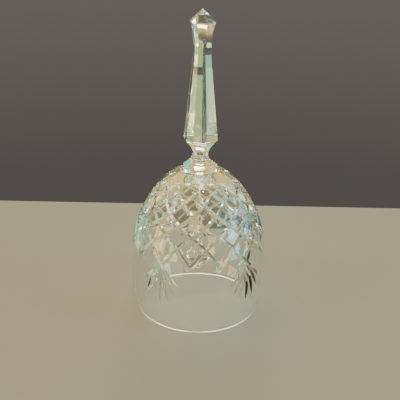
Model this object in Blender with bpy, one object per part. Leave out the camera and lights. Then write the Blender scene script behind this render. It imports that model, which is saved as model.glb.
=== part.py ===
"""Cut-glass dinner bell: a bowl, a merese, a six-sided handle, and a clapper on a link chain.

The origin is the centre of the rim's lower face. +Z runs up the axis to the tip of the handle.
"""
import math

import bmesh
import bpy
from mathutils import Matrix, Vector

MM = 0.001
GAP = 0.3  # space between neighbouring pieces, mm

# Heights along the axis, mm
TIP_Z = 180.0
SEAT_Z = 85.9  # floor of the round recess in the crown that the merese is let into
MERESE_THICKNESS = 3.0
CAVITY_TOP_Z = 81.8

# Outer and inner face of the bowl's wall: (radius, height), mm
RIM_OUTER_RADIUS = 37.3
RIM_INNER_RADIUS = 35.3
RIM_ROUNDING = 0.4
WALL_OUTSIDE = (
    (RIM_OUTER_RADIUS, 0.5), (39.6, 10), (41.0, 20), (41.3, 29), (40.6, 40), (38.4, 52.5),
    (34.4, 63), (29.2, 72.4), (22.4, 81.2), (17.4, 85.5), (14.2, 87.4), (11.6, 88.4),
)
WALL_INSIDE = (
    (RIM_INNER_RADIUS, 0.5), (37.0, 10), (38.0, 20), (38.1, 29), (37.3, 39.5),
    (35.0, 50.5), (30.2, 61), (22.6, 70.2), (13.2, 78.0), (4.0, 81.5),
)

# Merese: a round wafer with a full edge
MERESE_RADIUS = 10.5
MERESE_WAIST = 8.7
RECESS_RADIUS = MERESE_RADIUS + GAP
RECESS_EDGE_Z = 88.1

# Handle: distance from the axis to a corner of the hexagon, at each height, mm
HANDLE_SIDES = 6
HANDLE_TURN = -80.0  # direction of the first corner, degrees from +X
POINTS_PER_SIDE = 4
FOOT_Z = SEAT_Z + MERESE_THICKNESS + 2 * GAP
FOOT_RADIUS = 10.2
NECK = (4.65, 97.5)
LOWER_BELT = (10.45, 107.2)
TAPER_TOP = (5.75, 150.0)
WAIST = (5.25, 160.0)
UPPER_BELT = (7.65, 172.3)

# Hanger, chain and clapper
WIRE_RADIUS = 0.5
BEND_RADIUS = 1.5  # centreline of a link's round end
LINK_STRAIGHT = 3.6
LINK_COUNT = 6
CEMENT_RADIUS = 5.6
CEMENT_BOTTOM_Z = 79.6
HANGER_RADIUS = 3.6
HANGER_THICKNESS = 0.8
BEAD_RADIUS = 7.5
BEAD_HOLE_RADIUS = 0.9
PIN_RADIUS = 0.5
PIN_HEAD_RADIUS = 1.1
CAP_RADIUS = 2.6
CAP_THICKNESS = 0.5
NEST = 2 * WIRE_RADIUS + GAP  # height of a link's top bend over the wire it hangs on
LINK_PITCH = LINK_STRAIGHT + 2 * BEND_RADIUS - NEST

# Fineness of the round pieces
BOWL_SEGMENTS = 64
SMALL_SEGMENTS = 24
WIRE_SIDES = 8
BEND_STEPS = 8


def clear_scene():
    for item in list(bpy.data.objects):
        bpy.data.objects.remove(item, do_unlink=True)


def make_material(name, colour, roughness, metallic=0.0, transmission=0.0):
    material = bpy.data.materials.new(name)
    material.use_nodes = True
    shader = material.node_tree.nodes["Principled BSDF"]
    shader.inputs["Base Color"].default_value = (*colour, 1)
    shader.inputs["Roughness"].default_value = roughness
    shader.inputs["Metallic"].default_value = metallic
    shader.inputs["Transmission Weight"].default_value = transmission
    shader.inputs["IOR"].default_value = 1.54
    return material


def add_object(name, bm, material, origin_z=0.0):
    """Make an object whose origin is on the axis at height origin_z (mm)."""
    bmesh.ops.recalc_face_normals(bm, faces=bm.faces)
    bmesh.ops.translate(bm, verts=bm.verts, vec=(0, 0, -origin_z * MM))
    mesh = bpy.data.meshes.new(name)
    bm.to_mesh(mesh)
    bm.free()
    mesh.materials.append(material)
    mesh.shade_smooth()
    mesh.set_sharp_from_angle(angle=math.radians(30))
    item = bpy.data.objects.new(name, mesh)
    item.location = (0, 0, origin_z * MM)
    bpy.context.scene.collection.objects.link(item)
    return item


def smooth_curve(points, steps):
    """Points along a Catmull-Rom curve through the given ones."""
    knots = [Vector(p) for p in points]
    knots = [2 * knots[0] - knots[1]] + knots + [2 * knots[-1] - knots[-2]]
    curve = []
    for a, b, c, d in zip(knots, knots[1:], knots[2:], knots[3:]):
        for step in range(steps):
            t = step / steps
            curve.append(
                b + 0.5 * t * (c - a)
                + 0.5 * t * t * (2 * a - 5 * b + 4 * c - d)
                + 0.5 * t ** 3 * (3 * b - a - 3 * c + d)
            )
    curve.append(knots[-2])
    return [tuple(p) for p in curve]


def arc(centre, radius, start, end, steps):
    """Points (radius, height) on an arc, with its angles in degrees."""
    angles = [math.radians(start + (end - start) * i / steps) for i in range(steps + 1)]
    return [(centre[0] + radius * math.cos(a), centre[1] + radius * math.sin(a)) for a in angles]


def turn(profile, segments, closed=False):
    """Turn a profile of (radius, height) about Z. A closed profile makes a ring."""
    bm = bmesh.new()
    verts = [bm.verts.new((r * MM, 0, z * MM)) for r, z in profile]
    pairs = list(zip(verts, verts[1:]))
    if closed:
        pairs.append((verts[-1], verts[0]))
    edges = [bm.edges.new(pair) for pair in pairs]
    bmesh.ops.spin(
        bm, geom=verts + edges, cent=(0, 0, 0), axis=(0, 0, 1),
        angle=2 * math.pi, steps=segments, use_duplicate=False,
    )
    bmesh.ops.remove_doubles(bm, verts=bm.verts, dist=0.00001)
    return bm


def stadium(straight, top_z):
    """A link's centreline in the XZ plane: two round ends joined by straight sides."""
    low = top_z - BEND_RADIUS - straight
    high = top_z - BEND_RADIUS
    upper = arc((0, high), BEND_RADIUS, 0, 180, BEND_STEPS)
    lower = arc((0, low), BEND_RADIUS, 180, 360, BEND_STEPS)
    if straight == 0:
        upper, lower = upper[:-1], lower[:-1]
    return upper + lower


def wire_loop(path, across):
    """A round wire along a closed path in the XZ plane, or in YZ when across is set."""
    bm = bmesh.new()
    rings = []
    count = len(path)
    for i, (x, z) in enumerate(path):
        before, after = Vector(path[i - 1]), Vector(path[(i + 1) % count])
        along = (after - before).normalized()
        outward = Vector((along.y, -along.x))
        ring = []
        for k in range(WIRE_SIDES):
            angle = 2 * math.pi * k / WIRE_SIDES
            reach, side = WIRE_RADIUS * math.cos(angle), WIRE_RADIUS * math.sin(angle)
            ring.append(bm.verts.new(Vector((x + reach * outward.x, side, z + reach * outward.y)) * MM))
        rings.append(ring)
    for a, b in zip(rings, rings[1:] + rings[:1]):
        for k in range(WIRE_SIDES):
            n = (k + 1) % WIRE_SIDES
            bm.faces.new((a[k], a[n], b[n], b[k]))
    if across:
        bmesh.ops.rotate(bm, verts=bm.verts, cent=(0, 0, 0), matrix=Matrix.Rotation(math.pi / 2, 3, "Z"))
    return bm


def join(item, tool):
    """Unite a tool object with an item and hide the tool."""
    union = item.modifiers.new("join", "BOOLEAN")
    union.operation = "UNION"
    union.solver = "EXACT"
    union.object = tool
    tool.hide_render = True
    tool.display_type = "WIRE"


def make_bowl(glass):
    flat_outer = RIM_OUTER_RADIUS - RIM_ROUNDING
    flat_inner = RIM_INNER_RADIUS + RIM_ROUNDING
    outside = smooth_curve(WALL_OUTSIDE, 2)
    inside = smooth_curve(WALL_INSIDE, 2)
    profile = [(0, SEAT_Z), (RECESS_RADIUS, SEAT_Z), (RECESS_RADIUS, RECESS_EDGE_Z)] + outside[::-1]
    profile += [(flat_outer, 0), (flat_inner, 0)]
    profile += inside + [(0, CAVITY_TOP_Z)]
    return add_object("bell_bowl", turn(profile, BOWL_SEGMENTS), glass)


def make_merese(glass):
    bottom = SEAT_Z + GAP
    top = bottom + MERESE_THICKNESS
    edge = arc(((MERESE_RADIUS - 1.3), bottom + 1.45), 1.3, 75, -75, 6)
    profile = [(0, top), (MERESE_WAIST, top)] + edge + [(MERESE_RADIUS - 1.4, bottom), (0, bottom)]
    return add_object("merese_disc", turn(profile, 48), glass)


def handle_levels():
    """(corner distance, height, roundness) up the handle. Roundness 1 is a circle, 0 a hexagon."""
    foot = [(MERESE_WAIST, FOOT_Z, 1.0), (9.2, FOOT_Z + 0.35, 1.0), (FOOT_RADIUS, FOOT_Z + 1.0, 1.0)]
    foot += [(9.6, FOOT_Z + 1.6, 0.9), (7.7, FOOT_Z + 3.0, 0.6), (5.9, FOOT_Z + 4.9, 0.3)]
    neck = [(*NECK, 0.0), (4.9, 99.3, 0.0), (6.0, 101.7, 0.0), (LOWER_BELT[0] - 0.35, LOWER_BELT[1] - 0.5, 0.0)]
    belt = [(*LOWER_BELT, 0.0), (LOWER_BELT[0] - 0.1, LOWER_BELT[1] + 0.6, 0.0)]
    shaft = [(*TAPER_TOP, 0.0), (5.36, 155.0, 0.0), (*WAIST, 0.0), (5.58, 165.3, 0.0), (6.4, 169.0, 0.0)]
    top = [(UPPER_BELT[0] - 0.15, UPPER_BELT[1] - 0.7, 0.0), (*UPPER_BELT, 0.0)]
    return foot + neck + belt + shaft + top


def handle_ring(corner, z, roundness):
    """Points round the handle at one height, between a hexagon and a circle."""
    count = HANDLE_SIDES * POINTS_PER_SIDE
    half_side = math.pi / HANDLE_SIDES
    ring = []
    for i in range(count):
        angle = 2 * math.pi * i / count
        from_middle = angle % (2 * half_side) - half_side
        flat = corner * math.cos(half_side) / math.cos(from_middle)
        radius = flat + (corner - flat) * roundness
        direction = angle + math.radians(HANDLE_TURN)
        ring.append(Vector((radius * math.cos(direction), radius * math.sin(direction), z)) * MM)
    return ring


def make_handle(glass):
    bm = bmesh.new()
    rings = [[bm.verts.new(p) for p in handle_ring(*level)] for level in handle_levels()]
    bm.faces.new(rings[0][::-1])
    for low, high in zip(rings, rings[1:]):
        count = len(low)
        for i in range(count):
            n = (i + 1) % count
            bm.faces.new((low[i], low[n], high[n], high[i]))
    tip = bm.verts.new((0, 0, TIP_Z * MM))
    for a, b in zip(rings[-1], rings[-1][1:] + rings[-1][:1]):
        bm.faces.new((a, b, tip))
    return add_object("handle_spire", bm, glass)


def make_cement(cement):
    """A pad of clear cement that fills the space between the crown and the hanger."""
    inside = smooth_curve(WALL_INSIDE[-3:] + ((0, CAVITY_TOP_Z),), 4)
    top = [(r, z - 1.2 * GAP) for r, z in inside if r < CEMENT_RADIUS]
    edge = arc((CEMENT_RADIUS - 0.5, CEMENT_BOTTOM_Z + 0.5), 0.5, 0, -90, 3)
    profile = top[::-1] + edge + [(0, CEMENT_BOTTOM_Z)]
    return add_object("crown_cement", turn(profile, SMALL_SEGMENTS), cement)


def hanger_bottom():
    return CEMENT_BOTTOM_Z - GAP - HANGER_THICKNESS


def first_pivot():
    """Height of the eye's lowest wire, which the first link turns about."""
    eye_top = hanger_bottom() + 0.8 * WIRE_RADIUS
    return eye_top - 2 * BEND_RADIUS


def make_hanger(metal):
    low = hanger_bottom()
    high = low + HANGER_THICKNESS
    profile = [(0, high), (HANGER_RADIUS - 0.25, high), (HANGER_RADIUS, high - 0.25)]
    profile += [(HANGER_RADIUS, low + 0.25), (HANGER_RADIUS - 0.25, low), (0, low)]
    disc = add_object("hanger_eye", turn(profile, SMALL_SEGMENTS), metal)
    eye_top = first_pivot() + 2 * BEND_RADIUS
    eye = add_object("hanger_eye_tool", wire_loop(stadium(0, eye_top), False), metal)
    join(disc, eye)
    return disc


def make_links(metal):
    pivot = first_pivot()
    for number in range(1, LINK_COUNT + 1):
        across = number % 2 == 1
        path = stadium(LINK_STRAIGHT, pivot + NEST)
        add_object(f"chain_link_{number}", wire_loop(path, across), metal, pivot)
        pivot -= LINK_PITCH
    return pivot


def make_clapper(pivot, metal, glass):
    """The eye pin hangs on the last link and carries the bead between two dished caps."""
    loop_bottom = pivot + NEST - 2 * BEND_RADIUS
    bead_z = loop_bottom - WIRE_RADIUS - BEAD_RADIUS - 2 * GAP - CAP_THICKNESS - 0.5
    dish = BEAD_RADIUS + GAP

    head_top = bead_z - dish - CAP_THICKNESS - GAP
    profile = [(0, loop_bottom), (PIN_RADIUS, loop_bottom), (PIN_RADIUS, head_top)]
    profile += arc((0, head_top), PIN_HEAD_RADIUS, 0, -90, 4)
    pin = add_object("clapper_pin", turn(profile, 12), metal, pivot)
    loop = add_object("clapper_pin_tool", wire_loop(stadium(0, pivot + NEST), True), metal, pivot)
    join(pin, loop)

    start = math.degrees(math.acos(BEAD_HOLE_RADIUS / BEAD_RADIUS))
    ball = arc((0, bead_z), BEAD_RADIUS, start, -start, 14)
    add_object("clapper_bead", turn(ball, SMALL_SEGMENTS, closed=True), glass, bead_z)

    for name, up in (("upper_bead_cap", 1), ("lower_bead_cap", -1)):
        low = math.degrees(math.acos(CAP_RADIUS / dish))
        high = math.degrees(math.acos(BEAD_HOLE_RADIUS / dish))
        under = arc((0, 0), dish, low, high, 3)
        over = arc((0, 0), dish + CAP_THICKNESS, high, low, 3)
        cap = [(r, bead_z + up * z) for r, z in under + over]
        add_object(name, turn(cap, 16, closed=True), metal, bead_z)


def main():
    clear_scene()
    glass = make_material("clear_crystal", (0.95, 0.97, 0.95), 0.02, transmission=1.0)
    bead_glass = make_material("bead_crystal", (0.95, 0.97, 0.98), 0.03, transmission=1.0)
    cement = make_material("clear_cement", (0.82, 0.82, 0.78), 0.4, transmission=0.4)
    metal = make_material("plated_wire", (0.75, 0.74, 0.72), 0.22, metallic=1.0)
    make_bowl(glass)
    make_merese(glass)
    make_handle(glass)
    make_cement(cement)
    make_hanger(metal)
    last_pivot = make_links(metal)
    make_clapper(last_pivot, metal, bead_glass)


main()
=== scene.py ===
"""Looks of the cut-glass bell: finely cut glass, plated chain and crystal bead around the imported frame."""
import math

import bmesh
import bpy
import numpy as np
from mathutils import Matrix, Vector


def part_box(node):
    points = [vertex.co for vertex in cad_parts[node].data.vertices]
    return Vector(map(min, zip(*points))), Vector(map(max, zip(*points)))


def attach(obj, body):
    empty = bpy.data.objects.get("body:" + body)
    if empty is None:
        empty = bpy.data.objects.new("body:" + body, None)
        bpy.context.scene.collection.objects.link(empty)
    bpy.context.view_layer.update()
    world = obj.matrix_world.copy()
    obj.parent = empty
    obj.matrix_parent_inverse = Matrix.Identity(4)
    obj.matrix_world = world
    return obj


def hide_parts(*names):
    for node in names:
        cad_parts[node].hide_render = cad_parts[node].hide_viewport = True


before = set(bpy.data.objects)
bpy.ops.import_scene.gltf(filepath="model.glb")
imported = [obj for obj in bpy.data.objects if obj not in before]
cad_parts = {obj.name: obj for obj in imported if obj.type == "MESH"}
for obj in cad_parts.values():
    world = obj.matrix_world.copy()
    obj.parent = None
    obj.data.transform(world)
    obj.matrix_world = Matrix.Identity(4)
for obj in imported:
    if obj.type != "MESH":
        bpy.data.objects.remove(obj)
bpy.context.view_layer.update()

MM = 0.001

# Heights and radii of the frame, mm
TIP_Z = 179.4
SEAT_Z = 85.9
RECESS_RADIUS = 10.8
CAVITY_TOP_Z = 81.8
RIM_OUTER_RADIUS = 37.3
RIM_INNER_RADIUS = 35.3
WALL_OUTSIDE = (
    (RIM_OUTER_RADIUS, 0.5), (39.6, 10), (41.0, 20), (41.3, 29), (40.6, 40), (38.4, 52.5),
    (34.4, 63), (29.2, 72.4), (22.4, 81.2), (17.4, 85.5), (14.2, 87.4), (11.6, 88.4),
)
WALL_INSIDE = (
    (RIM_INNER_RADIUS, 0.5), (37.0, 10), (38.0, 20), (38.1, 29), (37.3, 39.5),
    (35.0, 50.5), (30.2, 61), (22.6, 70.2), (13.2, 78.0), (4.0, 81.5),
)
LIP_RADIUS = 0.25  # both edges of the rim
MERESE_TOP_Z = 89.35
MERESE_RADIUS = 10.5
MERESE_EDGE = 1.5
MERESE_GAP = 0.15  # under the merese, in its recess
FOOT_SEAT_RADIUS = 8.5
HANDLE_TURN = -80.0  # direction of the hexagon's first corner, degrees from +X
EDGE_RADIUS = 0.16  # polished edges of the handle
FLAT_STEPS = 6
UPPER_BELT_CORNER, UPPER_BELT_TOP_Z = 7.5, 172.62  # where the pointed cap starts

# Clapper, mm. What isn't here comes from the frame's boxes.
CHAIN_LINKS = 6
WIRE_RADIUS = 0.5
EYE_BEND = 1.5  # radius of an eye, to the middle of its wire
DISC_THICK, DISC_EDGE, DISC_DIP = 0.8, 0.25, 0.12
PIN_HEAD = 1.1
CAP_DISH, CAP_THICK, CAP_HOLE, CAP_RADIUS = 7.8, 0.42, 0.95, 2.35
FACETS_AROUND = 12
FACET_LATITUDES = (-72, -48, -24, 0, 24, 48, 72)
DRILL_RADIUS = 0.9

# The cut pattern. Crossings of the two families of grooves lie on these heights, a half step apart.
CROSSINGS_AROUND = 15
CROSSING_HEIGHTS = (43.2, 53.6, 59.8, 65.2, 70.6, 76.0, 80.9, 84.2)
STEP_BELOW = 9.4  # height of a step under the lowest crossing
FIRST_FAN = 40.5  # degrees from the front, towards +X
FANS = 5
GROOVE_TOP, GROOVE_POINTS = 6.4, 64  # the top is in crossings above the lowest one
TOP_FADE = 0.35  # how far a groove takes to reach its depth, in crossings
TIP_RUN, TIP_FADE = 0.12, 0.16
UNEVEN = 3.05  # hand-marked spacing: how far round a cut may be from its place, degrees
UNEVEN_FROM = -31.5
GROOVE_DEPTH = 0.85
STAND_OFF = 0.03  # a cut starts and ends this far outside the glass
GROOVE_SLOPE = math.tan(math.radians(54))  # half width over depth
CUTTER_HEAD = 1.3  # how far a cutter stands above the glass
LEAVES = ((0, 25.2), (13, 24.0), (-13, 24.0), (26.5, 21.0), (-26.5, 21.0), (40, 17.0), (-40, 17.0))
LEAF_START = 1.2
LEAF_DEPTH, LEAF_POINTS = 0.95, 20
LEAF_SWELL = 1.1  # puts the widest part of a leaf past its middle
FAN_RADIUS = 41.0  # of the bowl, where the fans are
RUN_ON, RUN_ON_FADE = 1.35, 0.9  # how far the grooves run on under a fan, in crossings

# The surround, as (height or side from -1 to 1, colour). The camera sees the wall. The glow low down and the
# tinted tent above it light the floor and the bell, and show in the glass.
WALL_STOPS = ((-0.6, (0.085, 0.077, 0.07)), (-0.33, (0.09, 0.08, 0.074)), (-0.1, (0.135, 0.122, 0.11)),
              (0.6, (0.16, 0.15, 0.14)))
GLOW_STOPS = ((-0.6, (0.3, 0.25, 0.18)), (-0.43, (0.25, 0.2, 0.15)), (-0.385, (0.09, 0.08, 0.074)),
              (-0.1, (0.135, 0.122, 0.11)))
TENT_STOPS = ((0.0, (0.45, 0.45, 0.45)), (0.3, (1.0, 1.0, 1.0)), (0.75, (1.0, 1.0, 1.0)))
TENT_TINTS = ((-1, (1, 0.82, 0.32)), (-0.35, (1, 0.78, 0.22)), (0.15, (1, 0.74, 0.25)), (0.32, (1, 0.6, 0.2)),
              (0.5, (0.35, 1, 0.75)), (1, (0.2, 0.8, 1)))
FLOOR_SIZE = Vector((0.84, 0.497, 0.012))
FLOOR_HEART = Vector((0, -0.0915, -0.0062))


# ---------------------------------------------------------------- camera, light, stage

def make_camera():
    focal_px, image_px, sensor_mm = 650, 400, 36
    pitch, roll = 22.6, 1.13
    data = bpy.data.cameras.new("camera")
    data.sensor_width = sensor_mm
    data.lens = focal_px / image_px * sensor_mm
    camera = bpy.data.objects.new("camera", data)
    bpy.context.scene.collection.objects.link(camera)
    turn_up = Matrix.Rotation(math.radians(90 - pitch), 4, "X")
    lean = Matrix.Rotation(math.radians(roll), 4, "Z")
    camera.matrix_world = Matrix.Translation((0.0004, -0.359, 0.218)) @ turn_up @ lean
    bpy.context.scene.camera = camera


def softbox(name, azimuth, elevation, distance, size, radiance, colour, target=(0, 0, 0.09)):
    """A panel the camera doesn't see. Its azimuth runs from the front towards +X, in degrees."""
    a, e = math.radians(azimuth), math.radians(elevation)
    way = Vector((math.sin(a) * math.cos(e), -math.cos(a) * math.cos(e), math.sin(e)))
    data = bpy.data.lights.new(name, "AREA")
    data.shape = "RECTANGLE"
    data.size, data.size_y = size
    data.energy = radiance * math.pi * size[0] * size[1]
    data.color = colour
    light = bpy.data.objects.new(name, data)
    light.location = Vector(target) + way * distance
    light.rotation_euler = (-way).to_track_quat("-Z", "Y").to_euler()
    light.visible_camera = False
    bpy.context.scene.collection.objects.link(light)
    return light


def make_lights():
    softbox("top", 20, 80, 0.7, (0.12, 0.12), 16, (1, 0.97, 0.9))
    softbox("left", -70, 32, 0.7, (0.12, 0.3), 9, (1, 0.97, 0.88))
    softbox("right", 74, 26, 0.7, (0.1, 0.35), 9, (0.9, 1, 0.98))
    softbox("behind", 180, 33, 0.8, (0.26, 0.26), 6, (1, 0.93, 0.8), (0, -0.037, 0))
    softbox("spark", 18, 68, 0.7, (0.03, 0.03), 150, (1, 0.93, 0.8))


def make_accents(glass):
    """Coloured cards that light only the glass, for the warm and cool patches in its cuts."""
    cards = (
        softbox("gold_left", -72, 5, 0.7, (0.26, 0.4), 9, (1, 0.72, 0.2)),
        softbox("green_left", -42, -3, 0.7, (0.15, 0.14), 10, (0.7, 1, 0.35)),
        softbox("gold_front", -10, 33, 0.7, (0.22, 0.26), 10, (1, 0.76, 0.25)),
        softbox("amber_front", 22, 8, 0.7, (0.14, 0.26), 9, (1, 0.5, 0.16)),
        softbox("aqua_right", 64, 6, 0.7, (0.2, 0.4), 10, (0.22, 1, 0.9)),
        softbox("blue_right", 100, 14, 0.7, (0.1, 0.3), 9, (0.25, 0.6, 1)),
        softbox("gold_low", -45, -36, 0.18, (0.12, 0.05), 1.6, (1, 0.75, 0.3), (0, 0, 0.13)),
        softbox("green_low", -122, -28, 0.2, (0.14, 0.14), 0.7, (0.25, 1, 0.6), (0, 0, 0.13)),
    )
    group = bpy.data.collections.new("lit_by_cards")
    for piece in glass:
        group.objects.link(piece)
    for card in cards:
        card.light_linking.receiver_collection = group


def ramp(tree, value, stops):
    """A colour ramp over -1 to 1."""
    node = tree.nodes.new("ShaderNodeValToRGB")
    elements = node.color_ramp.elements
    while len(elements) < len(stops):
        elements.new(0.5)
    for element, (place, colour) in zip(elements, stops):
        element.position = (place + 1) / 2
        element.color = (*colour, 1)
    tree.links.new(remap(tree, value, -1, 1, 0, 1), node.inputs["Fac"])
    return node.outputs["Color"]


def blend(tree, kind, factor, first, second):
    node = tree.nodes.new("ShaderNodeMix")
    node.data_type = "RGBA"
    node.blend_type = kind
    if factor is None:
        node.inputs["Factor"].default_value = 1
    else:
        tree.links.new(factor, node.inputs["Factor"])
    tree.links.new(first, node.inputs[6])
    tree.links.new(second, node.inputs[7])
    return node.outputs[2]


def make_surround():
    """A wall for the camera; for all else a dim glow below a bright tent, gold left, green and blue right."""
    world = bpy.data.worlds.new("studio")
    world.use_nodes = True
    tree = world.node_tree
    background = tree.nodes.get("Background") or tree.nodes.new("ShaderNodeBackground")
    output = tree.nodes.get("World Output") or tree.nodes.new("ShaderNodeOutputWorld")
    tree.links.new(background.outputs[0], output.inputs[0])
    place = tree.nodes.new("ShaderNodeTexCoord")
    parts = tree.nodes.new("ShaderNodeSeparateXYZ")
    tree.links.new(place.outputs["Generated"], parts.inputs[0])
    across, up = parts.outputs["X"], parts.outputs["Z"]
    glow = ramp(tree, up, GLOW_STOPS)
    tent = blend(tree, "MULTIPLY", None, ramp(tree, up, TENT_STOPS), ramp(tree, across, TENT_TINTS))
    lighting = blend(tree, "MIX", remap(tree, up, -0.03, 0.12, 0, 1), glow, tent)
    seen = tree.nodes.new("ShaderNodeLightPath").outputs["Is Camera Ray"]
    whole = blend(tree, "MIX", seen, lighting, ramp(tree, up, WALL_STOPS))
    tree.links.new(whole, background.inputs["Color"])
    bpy.context.scene.world = world


def make_floor():
    bm = bmesh.new()
    bmesh.ops.create_cube(bm, size=1)
    for v in bm.verts:
        v.co = v.co * FLOOR_SIZE + FLOOR_HEART
    bmesh.ops.bevel(bm, geom=bm.edges, offset=0.002, segments=3, affect="EDGES")
    floor = add_object("floor", bm, paper_material())


# ---------------------------------------------------------------- materials

def new_material(name):
    material = bpy.data.materials.new(name)
    material.use_nodes = True
    tree = material.node_tree
    return material, tree, tree.nodes["Principled BSDF"]


def noise(tree, scale, detail=2.0):
    place = tree.nodes.new("ShaderNodeTexCoord")
    texture = tree.nodes.new("ShaderNodeTexNoise")
    texture.inputs["Scale"].default_value = scale
    texture.inputs["Detail"].default_value = detail
    tree.links.new(place.outputs["Object"], texture.inputs["Vector"])
    return texture.outputs["Fac"]


def remap(tree, value, from_low, from_high, low, high):
    node = tree.nodes.new("ShaderNodeMapRange")
    node.inputs["From Min"].default_value = from_low
    node.inputs["From Max"].default_value = from_high
    node.inputs["To Min"].default_value = low
    node.inputs["To Max"].default_value = high
    tree.links.new(value, node.inputs["Value"])
    return node.outputs["Result"]


def spread(tree, value, low, high):
    """Map a 0.3 to 0.7 noise value onto low to high."""
    return remap(tree, value, 0.3, 0.7, low, high)


def bump(tree, shader, value, strength, distance):
    node = tree.nodes.new("ShaderNodeBump")
    node.inputs["Strength"].default_value = strength
    node.inputs["Distance"].default_value = distance
    tree.links.new(value, node.inputs["Height"])
    tree.links.new(node.outputs["Normal"], shader.inputs["Normal"])


def paper_material():
    material, tree, shader = new_material("pale_paper")
    shader.inputs["Base Color"].default_value = (0.33, 0.305, 0.293, 1)
    shader.inputs["Roughness"].default_value = 0.8
    bump(tree, shader, noise(tree, 900), 0.15, 0.0002)
    return material


def glass_material(name, tint, ior, ripple):
    material, tree, shader = new_material(name)
    shader.inputs["Base Color"].default_value = (*tint, 1)
    shader.inputs["Transmission Weight"].default_value = 1
    shader.inputs["IOR"].default_value = ior
    tree.links.new(spread(tree, noise(tree, 140, 4), 0.0, 0.025), shader.inputs["Roughness"])
    bump(tree, shader, noise(tree, 60), ripple, 0.0004)
    path = tree.nodes.new("ShaderNodeLightPath")
    clear = tree.nodes.new("ShaderNodeBsdfTransparent")
    clear.inputs["Color"].default_value = (0.66, 0.68, 0.67, 1)
    mix = tree.nodes.new("ShaderNodeMixShader")
    tree.links.new(path.outputs["Is Shadow Ray"], mix.inputs[0])
    tree.links.new(shader.outputs[0], mix.inputs[1])
    tree.links.new(clear.outputs[0], mix.inputs[2])
    tree.links.new(mix.outputs[0], tree.nodes["Material Output"].inputs["Surface"])
    return material


def joint_material():
    """The fused face between two pieces of the same glass, which light crosses unbent."""
    material, tree, shader = new_material("fused_joint")
    shader.inputs["Base Color"].default_value = (1, 1, 1, 1)
    shader.inputs["Alpha"].default_value = 0
    tree.links.new(spread(tree, noise(tree, 140), 0.0, 0.02), shader.inputs["Roughness"])
    return material


def plated_material():
    material, tree, shader = new_material("plated_wire")
    shader.inputs["Base Color"].default_value = (0.78, 0.76, 0.72, 1)
    shader.inputs["Metallic"].default_value = 1
    tree.links.new(spread(tree, noise(tree, 2500), 0.14, 0.3), shader.inputs["Roughness"])
    bump(tree, shader, noise(tree, 3000), 0.1, 0.00005)
    return material


def cement_material():
    material, tree, shader = new_material("clear_cement")
    shader.inputs["Base Color"].default_value = (0.88, 0.88, 0.84, 1)
    shader.inputs["Transmission Weight"].default_value = 0.7
    shader.inputs["IOR"].default_value = 1.5
    tree.links.new(spread(tree, noise(tree, 700, 5), 0.12, 0.4), shader.inputs["Roughness"])
    bump(tree, shader, noise(tree, 400), 0.3, 0.0003)
    return material


# ---------------------------------------------------------------- mesh helpers

def face_outwards(bm):
    bmesh.ops.recalc_face_normals(bm, faces=bm.faces)
    if bm.calc_volume(signed=True) < 0:
        bmesh.ops.reverse_faces(bm, faces=bm.faces)


def add_object(name, bm, material, smooth_angle=25):
    face_outwards(bm)
    mesh = bpy.data.meshes.new(name)
    bm.to_mesh(mesh)
    bm.free()
    mesh.materials.append(material)
    mesh.shade_smooth()
    mesh.set_sharp_from_angle(angle=math.radians(smooth_angle))
    item = bpy.data.objects.new(name, mesh)
    bpy.context.scene.collection.objects.link(item)
    return item


def smooth_curve(points, steps):
    """Points along a Catmull-Rom curve through the given ones."""
    knots = [Vector(p) for p in points]
    knots = [2 * knots[0] - knots[1]] + knots + [2 * knots[-1] - knots[-2]]
    curve = []
    for a, b, c, d in zip(knots, knots[1:], knots[2:], knots[3:]):
        for step in range(steps):
            t = step / steps
            curve.append(
                b + 0.5 * t * (c - a)
                + 0.5 * t * t * (2 * a - 5 * b + 4 * c - d)
                + 0.5 * t ** 3 * (3 * b - a - 3 * c + d)
            )
    curve.append(knots[-2])
    return [tuple(p) for p in curve]


def arc(centre, radius, start, end, steps):
    angles = [math.radians(start + (end - start) * i / steps) for i in range(steps + 1)]
    return [(centre[0] + radius * math.cos(a), centre[1] + radius * math.sin(a)) for a in angles]


def turn(profile, segments, closed=False):
    """Turn a profile of (radius, height) in mm about Z."""
    bm = bmesh.new()
    verts = [bm.verts.new((r * MM, 0, z * MM)) for r, z in profile]
    pairs = list(zip(verts, verts[1:]))
    if closed:
        pairs.append((verts[-1], verts[0]))
    edges = [bm.edges.new(pair) for pair in pairs]
    bmesh.ops.spin(
        bm, geom=verts + edges, cent=(0, 0, 0), axis=(0, 0, 1),
        angle=2 * math.pi, steps=segments, use_duplicate=False,
    )
    bmesh.ops.remove_doubles(bm, verts=bm.verts, dist=0.000002)
    return bm


def skin(rings):
    """Faces between rings of the same number of points, with both ends closed."""
    bm = bmesh.new()
    rows = [[bm.verts.new(Vector(p) * MM) for p in ring] for ring in rings]
    for low, high in zip(rows, rows[1:]):
        for i, _ in enumerate(low):
            n = (i + 1) % len(low)
            bm.faces.new((low[i], low[n], high[n], high[i]))
    bm.faces.new(rows[0][::-1])
    bm.faces.new(rows[-1])
    return bm


def cut(item, tool, operation="DIFFERENCE"):
    """Apply one Boolean and drop the tool."""
    step = item.modifiers.new("cut", "BOOLEAN")
    step.operation = operation
    step.solver = "MANIFOLD"
    step.object = tool
    evaluated = item.evaluated_get(bpy.context.evaluated_depsgraph_get())
    mesh = bpy.data.meshes.new_from_object(evaluated)
    item.modifiers.clear()
    old = item.data
    item.data = mesh
    bpy.data.meshes.remove(old)
    bpy.data.objects.remove(tool, do_unlink=True)


# ---------------------------------------------------------------- bowl

WALL_FINE = np.array(smooth_curve(WALL_OUTSIDE, 24))


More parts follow.
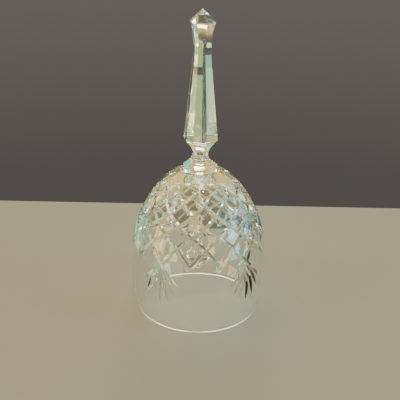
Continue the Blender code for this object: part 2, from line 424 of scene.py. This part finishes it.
def on_bowl(turned, z):
    """Place and outward normal on the bowl's outside, at degrees from the front and a height."""
    radius = float(np.interp(z, WALL_FINE[:, 1], WALL_FINE[:, 0]))
    above = float(np.interp(z + 0.4, WALL_FINE[:, 1], WALL_FINE[:, 0]))
    below = float(np.interp(z - 0.4, WALL_FINE[:, 1], WALL_FINE[:, 0]))
    slope = (above - below) / 0.8
    a = math.radians(turned + UNEVEN * math.sin(math.radians(turned - UNEVEN_FROM)))
    outward = Vector((math.sin(a), -math.cos(a), 0))
    return outward * radius + Vector((0, 0, z)), (outward - Vector((0, 0, slope))).normalized()


def v_cutter(track, depths):
    """A V-edged wheel's path: track holds (turned, z), depths the depth at each."""
    places = [on_bowl(*spot) for spot in track]
    rings = []
    for i, ((p, normal), depth) in enumerate(zip(places, depths)):
        before = places[max(i - 1, 0)][0]
        after = places[min(i + 1, len(places) - 1)][0]
        along = (after - before).normalized()
        side = along.cross(normal).normalized()
        half = (depth + CUTTER_HEAD) * GROOVE_SLOPE
        top = p + normal * CUTTER_HEAD
        rings.append((p - normal * depth, top + side * half, top - side * half))
    return rings


def crossing_height(step):
    """Height at a number of steps above the lowest crossing, on a smooth curve."""
    heights = CROSSING_HEIGHTS
    if step < 0:
        return heights[0] + step * STEP_BELOW
    i = min(int(step), len(heights) - 2)
    t = step - i
    a = heights[i - 1] if i > 0 else heights[0] - STEP_BELOW
    b, c = heights[i], heights[i + 1]
    d = heights[i + 2] if i + 2 < len(heights) else 2 * c - b
    return (
        b + 0.5 * t * (c - a) + 0.5 * t * t * (2 * a - 5 * b + 4 * c - d)
        + 0.5 * t ** 3 * (3 * b - a - 3 * c + d)
    )


def groove(number, lean):
    start = FIRST_FAN + number * 360 / CROSSINGS_AROUND
    at_fan = number % (CROSSINGS_AROUND // FANS) == 0
    low = -RUN_ON if at_fan else -TIP_RUN
    low_fade = RUN_ON_FADE if at_fan else TIP_FADE
    half_step = 180 / CROSSINGS_AROUND
    track, depths = [], []
    for i in range(GROOVE_POINTS + 1):
        t = low + (GROOVE_TOP - low) * i / GROOVE_POINTS
        track.append((start + lean * half_step * t, crossing_height(t)))
        fade = min((t - low) / low_fade, (GROOVE_TOP - t) / TOP_FADE, 1.0)
        depths.append(GROOVE_DEPTH * math.sin(math.pi / 2 * max(fade, 0)) - STAND_OFF)
    return v_cutter(track, depths)


def leaf(fan, angle, length):
    centre = FIRST_FAN + fan * 360 / FANS
    a = math.radians(angle)
    track, depths = [], []
    for i in range(LEAF_POINTS + 1):
        v = i / LEAF_POINTS
        reach = LEAF_START + (length - LEAF_START) * v
        turned = centre + math.degrees(reach * math.sin(a) / FAN_RADIUS)
        track.append((turned, CROSSING_HEIGHTS[0] - reach * math.cos(a)))
        depths.append(LEAF_DEPTH * 4 * v ** LEAF_SWELL * (1 - v ** LEAF_SWELL) - STAND_OFF)
    return v_cutter(track, depths)


def cutters(name, all_rings):
    """One object that holds several separate cutters."""
    whole = bmesh.new()
    for rings in all_rings:
        part = skin(rings)
        mesh = bpy.data.meshes.new("part")
        face_outwards(part)
        part.to_mesh(mesh)
        part.free()
        whole.from_mesh(mesh)
        bpy.data.meshes.remove(mesh)
    mesh = bpy.data.meshes.new(name)
    whole.to_mesh(mesh)
    whole.free()
    item = bpy.data.objects.new(name, mesh)
    bpy.context.scene.collection.objects.link(item)
    return item


def make_bowl(glass):
    outside = smooth_curve(WALL_OUTSIDE, 10)
    inside = smooth_curve(WALL_INSIDE, 8)
    crown = [(0, SEAT_Z), (RECESS_RADIUS - 1.4, SEAT_Z)]
    crown += arc((RECESS_RADIUS - 1.2, SEAT_Z + 1.2), 1.2, -80, 0, 6) + [(RECESS_RADIUS, 88.0)]
    crown += [(RECESS_RADIUS + 0.12, 88.28), (RECESS_RADIUS + 0.42, 88.42)]
    lip = arc((RIM_OUTER_RADIUS - LIP_RADIUS, LIP_RADIUS), LIP_RADIUS, -10, -90, 5)
    lip += arc((RIM_INNER_RADIUS + LIP_RADIUS, LIP_RADIUS), LIP_RADIUS, 270, 190, 5)
    top = smooth_curve(WALL_INSIDE[-3:] + ((0, CAVITY_TOP_Z), (-4.0, 81.5)), 8)
    apex = [p for p in top if 0 <= p[0] < 3.9]
    profile = crown + outside[::-1] + lip + inside + apex + [(0, CAVITY_TOP_Z)]
    bowl = add_object("cut_bowl", turn(profile, 300), glass)
    for lean in (1, -1):
        cut(bowl, cutters("grooves", [groove(n, lean) for n in range(CROSSINGS_AROUND)]))
    for angle, length in LEAVES:
        cut(bowl, cutters("leaves", [leaf(f, angle, length) for f in range(FANS)]))
    mesh = bowl.data
    mesh.materials.clear()
    mesh.materials.append(glass)
    mesh.shade_smooth()
    mesh.set_sharp_from_angle(angle=math.radians(20))
    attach(bowl, "bell")
    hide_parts("bell_bowl")
    return bowl


# ---------------------------------------------------------------- merese and handle

def hex_ring(corner, z, roundness=0.0, edge=EDGE_RADIUS):
    """Points round a hexagon with softened corners, blended towards a circle by roundness."""
    half = math.radians(30)
    inner = corner - edge / math.cos(half)
    ring = []
    for side in range(6):
        turned = math.radians(HANDLE_TURN) + side * 2 * half
        heart = Vector((inner * math.cos(turned), inner * math.sin(turned)))
        bend = [heart + edge * Vector((math.cos(turned + half * b), math.sin(turned + half * b)))
                for b in (-1, -0.5, 0, 0.5, 1)]
        following = turned + 2 * half
        onward = Vector((inner * math.cos(following), inner * math.sin(following)))
        onward += edge * Vector((math.cos(following - half), math.sin(following - half)))
        flat = [bend[-1].lerp(onward, i / FLAT_STEPS) for i in range(1, FLAT_STEPS)]
        ring += bend + flat
    points = []
    for p in ring:
        wanted = p.length + (corner - p.length) * roundness
        out = p * (wanted / p.length)
        points.append((out.x, out.y, z))
    return points


def handle_profile():
    """(corner distance, height, roundness) from the foot's seat to the upper belt, mm."""
    foot = [(FOOT_SEAT_RADIUS, MERESE_TOP_Z, 1.0), (9.1, 89.42, 1.0), (9.85, 89.75, 1.0),
            (10.15, 90.3, 1.0), (10.12, 90.8, 0.98), (9.7, 91.25, 0.92), (8.75, 92.1, 0.75),
            (7.55, 93.2, 0.5), (6.4, 94.5, 0.28), (5.35, 95.9, 0.1)]
    neck = [(4.72, 97.6, 0.0), (4.95, 99.4, 0.0), (5.95, 101.6, 0.0), (7.3, 103.7, 0.0)]
    profile = smooth_curve(foot + neck, 4)
    belt = [(10.2, 106.75, 0.0), (10.36, 107.0, 0.0), (10.42, 107.25, 0.0), (10.36, 107.6, 0.0)]
    shaft = smooth_curve([(10.36, 107.6, 0.0), (8.15, 128.0, 0.0), (6.45, 143.6, 0.0), (5.75, 150.5, 0.0),
                          (5.36, 156.0, 0.0), (5.27, 160.5, 0.0), (5.6, 165.3, 0.0), (6.45, 169.2, 0.0),
                          (UPPER_BELT_CORNER, 172.0, 0.0)], 5)
    crest = [(7.6, 172.25, 0.0), (7.6, 172.45, 0.0), (UPPER_BELT_CORNER, UPPER_BELT_TOP_Z, 0.0)]
    return profile + belt + shaft[1:] + crest


def make_handle(glass, joint):
    rings = [hex_ring(*level) for level in handle_profile()]
    for part in (0.5, 0.9):
        corner = UPPER_BELT_CORNER * (1 - part)
        height = UPPER_BELT_TOP_Z + (TIP_Z - 0.05 - UPPER_BELT_TOP_Z) * part
        rings.append(hex_ring(corner, height, edge=min(EDGE_RADIUS, corner / 4)))
    rings.append(hex_ring(0.25, TIP_Z - 0.18, edge=0.1))
    rings.append(hex_ring(0.1, TIP_Z - 0.05, edge=0.05))
    handle = add_object("cut_handle", skin(rings), glass, 20)
    handle.data.materials.append(joint)
    seat = min(handle.data.polygons, key=lambda face: face.center.z)
    seat.material_index = 1
    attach(handle, "bell")
    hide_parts("handle_spire")
    return handle


def make_merese(glass, joint):
    """The round wafer between bowl and handle, its edge full and rounded."""
    low = SEAT_Z + MERESE_GAP
    edge = arc((MERESE_RADIUS - MERESE_EDGE, low + MERESE_EDGE), MERESE_EDGE, -85, 50, 12)
    profile = [(0, low), (MERESE_RADIUS - 1.7, low)] + edge
    profile += [(9.1, 89.1), (FOOT_SEAT_RADIUS, MERESE_TOP_Z), (0, MERESE_TOP_Z)]
    merese = add_object("merese_ring", turn(profile, 120), glass, 30)
    merese.data.materials.append(joint)
    for face in merese.data.polygons:
        fused = face.normal.z > 0.999 and face.center.z > (MERESE_TOP_Z - 0.05) * MM
        face.material_index = 1 if fused else 0
    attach(merese, "bell")
    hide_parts("merese_disc")
    return merese


# ---------------------------------------------------------------- clapper and its chain

def wire(path, radius, sides=14, closed=True, seam=None):
    """A round wire of given radius along points in 3-D. At seam its two ends meet in a fine groove."""
    bm = bmesh.new()
    count = len(path)
    points = [Vector(p) for p in path]
    rings = []
    across = None
    for i, p in enumerate(points):
        before = points[i - 1] if closed or i else p
        after = points[(i + 1) % count] if closed or i + 1 < count else p
        along = (after - before).normalized()
        if across is None:
            across = along.orthogonal().normalized()
        across = (across - along * across.dot(along)).normalized()
        other = along.cross(across)
        width = radius * (0.82 if seam == i else 1.0)
        ring = []
        for k in range(sides):
            a = 2 * math.pi * k / sides
            ring.append(bm.verts.new((p + (across * math.cos(a) + other * math.sin(a)) * width) * MM))
        rings.append(ring)
    pairs = list(zip(rings, rings[1:]))
    if closed:
        pairs.append((rings[-1], rings[0]))
    for a, b in pairs:
        for k in range(sides):
            n = (k + 1) % sides
            bm.faces.new((a[k], a[n], b[n], b[k]))
    if not closed:
        bm.faces.new(rings[0][::-1])
        bm.faces.new(rings[-1])
    return bm


def box_mm(node):
    low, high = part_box(node)
    return Vector(low) / MM, Vector(high) / MM


def link_path(node):
    """A link's centreline from its CAD box, with extra points at the seam in one straight side."""
    low, high = box_mm(node)
    size = high - low
    radius = min(size.x, size.y) / 2
    bend = max(size.x, size.y) / 2 - radius
    top, bottom = high.z - radius - bend, low.z + radius + bend
    upper = arc((0, top), bend, 0, 180, 16)
    lower = arc((0, bottom), bend, 180, 360, 16)
    middle = (top + bottom) / 2
    seam = [(bend, middle - 0.1), (bend, middle), (bend, middle + 0.1)]
    flat = upper + lower + seam
    across = size.y > size.x
    path = [(0, u, z) if across else (u, 0, z) for u, z in flat]
    return path, radius, len(flat) - 2


def make_chain(metal):
    for number in range(1, CHAIN_LINKS + 1):
        node = f"chain_link_{number}"
        path, radius, seam = link_path(node)
        link = add_object(f"wire_link_{number}", wire(path, radius, seam=seam), metal, 40)
        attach(link, f"link_{number}")
        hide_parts(node)


def make_hanger(metal):
    """A disc with a rolled edge and a wire eye let into it."""
    low, high = box_mm("hanger_eye")
    radius = (high.x - low.x) / 2
    top, under = high.z, high.z - DISC_THICK
    profile = [(0, top), (radius - 0.3, top)]
    profile += arc((radius - DISC_EDGE, top - DISC_EDGE), DISC_EDGE, 80, 0, 4)
    profile += arc((radius - DISC_EDGE, under + DISC_EDGE), DISC_EDGE, 0, -90, 5)
    profile += [(radius - 0.7, under), (radius - 0.9, under + DISC_DIP)]
    profile += [(1.9, under + DISC_DIP), (1.5, under), (0, under)]
    disc = add_object("hanger", turn(profile, 64), metal, 35)
    heart = low.z + WIRE_RADIUS + EYE_BEND
    ring = [(u, 0, z) for u, z in arc((0, heart), EYE_BEND, 0, 360, 40)[:-1]]
    cut(disc, add_object("hanger_loop", wire(ring, WIRE_RADIUS), metal, 40), "UNION")
    disc.data.shade_smooth()
    disc.data.set_sharp_from_angle(angle=math.radians(35))
    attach(disc, "bell")
    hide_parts("hanger_eye")


def make_pin(metal):
    """The pin that carries the bead, its eye at the top and a domed head below."""
    low, high = box_mm("clapper_pin")
    heart = high.z - WIRE_RADIUS - EYE_BEND
    shank_top = heart - EYE_BEND + 0.1
    head_top = low.z + PIN_HEAD
    profile = [(0, shank_top), (WIRE_RADIUS, shank_top), (WIRE_RADIUS, head_top), (PIN_HEAD - 0.12, head_top)]
    profile += arc((0, head_top - 0.12), PIN_HEAD, 0, -90, 8)
    profile[-1] = (0, low.z)
    pin = add_object("eye_pin", turn(profile, 32), metal, 35)
    ring = [(0, u, z) for u, z in arc((0, heart), EYE_BEND, 0, 360, 40)[:-1]]
    cut(pin, add_object("eye_pin_loop", wire(ring, WIRE_RADIUS), metal, 40), "UNION")
    pin.data.shade_smooth()
    pin.data.set_sharp_from_angle(angle=math.radians(35))
    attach(pin, "clapper")
    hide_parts("clapper_pin")


def make_caps(metal):
    """Dished caps with a beaded edge, either side of the glass bead."""
    bead_low, bead_high = box_mm("clapper_bead")
    heart = (bead_low.z + bead_high.z) / 2
    outermost = math.degrees(math.acos(CAP_RADIUS / CAP_DISH))
    outermost_over = math.degrees(math.acos((CAP_RADIUS - 0.05) / CAP_DISH))
    innermost = math.degrees(math.acos(CAP_HOLE / CAP_DISH))
    for node, up in (("upper_bead_cap", 1), ("lower_bead_cap", -1)):
        under = arc((0, 0), CAP_DISH, outermost, innermost, 6)
        over = arc((0, 0), CAP_DISH + CAP_THICK, innermost, outermost_over, 6)
        edge = arc((2.37, 7.65), 0.24, 60, -60, 6)
        cap = [(r, heart + up * z) for r, z in under + over + edge]
        item = add_object("dished_" + node, turn(cap, 48, closed=True), metal, 35)
        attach(item, "clapper")
        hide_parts(node)


def make_bead(glass):
    """A round bead cut with rows of staggered facets and drilled through."""
    low, high = box_mm("clapper_bead")
    heart = (low.z + high.z) / 2
    radius = (high.x - low.x) / 2 - 0.05
    rings = []
    for row, latitude in enumerate(FACET_LATITUDES):
        shift = 0.5 * (row % 2)
        flat = radius * math.cos(math.radians(latitude))
        up = radius * math.sin(math.radians(latitude))
        ring = []
        for k in range(FACETS_AROUND):
            a = 2 * math.pi * (k + shift) / FACETS_AROUND
            ring.append(Vector((flat * math.cos(a), flat * math.sin(a), heart + up)))
        rings.append(ring)
    bm = bmesh.new()
    rows = [[bm.verts.new(p * MM) for p in ring] for ring in rings]
    for row, (lower, upper) in enumerate(zip(rows, rows[1:])):
        for k in range(FACETS_AROUND):
            n = (k + 1) % FACETS_AROUND
            if row % 2 == 0:
                bm.faces.new((lower[k], lower[n], upper[k]))
                bm.faces.new((lower[n], upper[n], upper[k]))
            else:
                bm.faces.new((lower[k], upper[n], upper[k]))
                bm.faces.new((lower[k], lower[n], upper[n]))
    bm.faces.new(rows[0][::-1])
    bm.faces.new(rows[-1])
    bead = add_object("facet_bead", bm, glass, 5)
    top, bottom = high.z + 1, low.z - 1
    shank = turn([(0, top), (DRILL_RADIUS, top), (DRILL_RADIUS, bottom), (0, bottom)], 24)
    cut(bead, add_object("drill", shank, glass))
    bead.data.set_sharp_from_angle(angle=math.radians(5))
    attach(bead, "bead")
    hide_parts("clapper_bead")
    return bead


def make_cement(cement):
    """A squeezed-out pad of clear cement under the crown, lapping the hanger's edge."""
    low, high = box_mm("crown_cement")
    ceiling = smooth_curve(WALL_INSIDE[-3:] + ((0, CAVITY_TOP_Z), (-4.0, 81.5)), 12)
    reach = (high.x - low.x) / 2 - 0.2
    top = [(r, z + 0.05) for r, z in ceiling if 0.2 < r < reach]
    edge = arc((reach - 0.45, low.z + 0.5), 0.5, 10, -90, 6)
    profile = [(0, CAVITY_TOP_Z + 0.05)] + top[::-1] + edge + [(0, low.z)]
    bm = turn(profile, 72)
    for v in bm.verts:
        a = math.atan2(v.co.y, v.co.x)
        wander = 1 + 0.03 * math.sin(3 * a + 0.6) + 0.02 * math.sin(7 * a)
        v.co.x *= wander
        v.co.y *= wander
    pad = add_object("cement_pad", bm, cement, 40)
    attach(pad, "bell")
    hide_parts("crown_cement")


make_camera()
make_lights()
make_surround()
make_floor()
crystal = glass_material("crystal", (0.985, 0.992, 0.985), 1.545, 0.02)
bead_crystal = glass_material("bead_crystal", (0.98, 0.985, 0.98), 1.56, 0.01)
plated = plated_material()
fused = joint_material()
glass = [make_bowl(crystal), make_merese(crystal, fused), make_handle(crystal, fused)]
make_cement(cement_material())
make_hanger(plated)
make_chain(plated)
make_pin(plated)
make_caps(plated)
glass.append(make_bead(bead_crystal))
make_accents(glass)

cycles = bpy.context.scene.cycles
cycles.max_bounces = 24
cycles.transmission_bounces = 24
cycles.glossy_bounces = 12
cycles.transparent_max_bounces = 24
